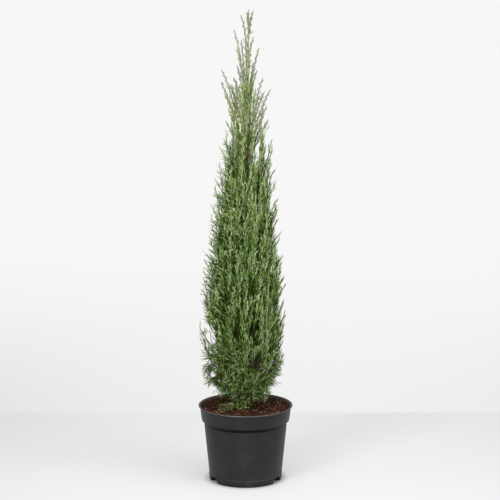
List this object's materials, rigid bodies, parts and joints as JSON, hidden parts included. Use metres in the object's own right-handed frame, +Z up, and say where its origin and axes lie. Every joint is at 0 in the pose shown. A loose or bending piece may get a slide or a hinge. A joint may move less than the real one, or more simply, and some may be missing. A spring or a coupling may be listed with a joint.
{
  "type": "potted conifer",
  "caption": "Young slim upright arizona cypress with feathery scale-leaved plumes round a whole trunk, standing in a tapered black nursery pot filled with peat.",
  "frame": {"origin": "centre of the pot's underside, on the ground", "axes": "+Z up along the plant, -Y towards the front that the picture shows, +X to the right in the picture"},
  "size_m": [0.19, 0.19, 0.9455],
  "materials": {
    "pot": "satin black recycled plastic",
    "soil": "matt crumbly peat",
    "bark": "matt fibrous bark",
    "foliage": "matt green scale leaves",
    "young_foliage": "matt light green scale leaves"
  },
  "bodies": {
    "root": {"bough_1": "bark", "bough_2": "bark", "bough_3": "bark", "bough_4": "bark", "bough_5": "bark", "bough_6": "bark", "bough_7": "bark", "bough_8": "bark", "bough_9": "bark", "bough_10": "bark", "bough_11": "bark", "bough_12": "bark", "bough_13": "bark", "bough_14": "bark", "bough_15": "bark", "bough_16": "bark", "bough_17": "bark", "bough_18": "bark", "bough_19": "bark", "foliage_1": "foliage", "foliage_2": "foliage", "foliage_3": "foliage", "foliage_4": "foliage", "foliage_5": "foliage", "foliage_6": "foliage", "foliage_7": "foliage", "foliage_8": "foliage", "foliage_9": "foliage", "foliage_10": "foliage", "foliage_11": "foliage", "foliage_12": "foliage", "foliage_13": "foliage", "foliage_14": "foliage", "foliage_15": "foliage", "foliage_16": "foliage", "foliage_17": "foliage", "foliage_18": "foliage", "foliage_19": "foliage", "foliage_20": "foliage", "foliage_21": "foliage", "foliage_22": "foliage", "foliage_23": "foliage", "foliage_24": "foliage", "foliage_25": "foliage", "foliage_26": "foliage", "foliage_27": "foliage", "foliage_28": "foliage", "foliage_29": "foliage", "foliage_30": "foliage", "foliage_31": "foliage", "foliage_32": "foliage", "foliage_33": "foliage", "foliage_34": "foliage", "foliage_35": "foliage", "foliage_36": "foliage", "foliage_leader": "young_foliage", "pot": "pot", "soil": "soil", "trunk": "bark"}
  },
  "joints": []
}
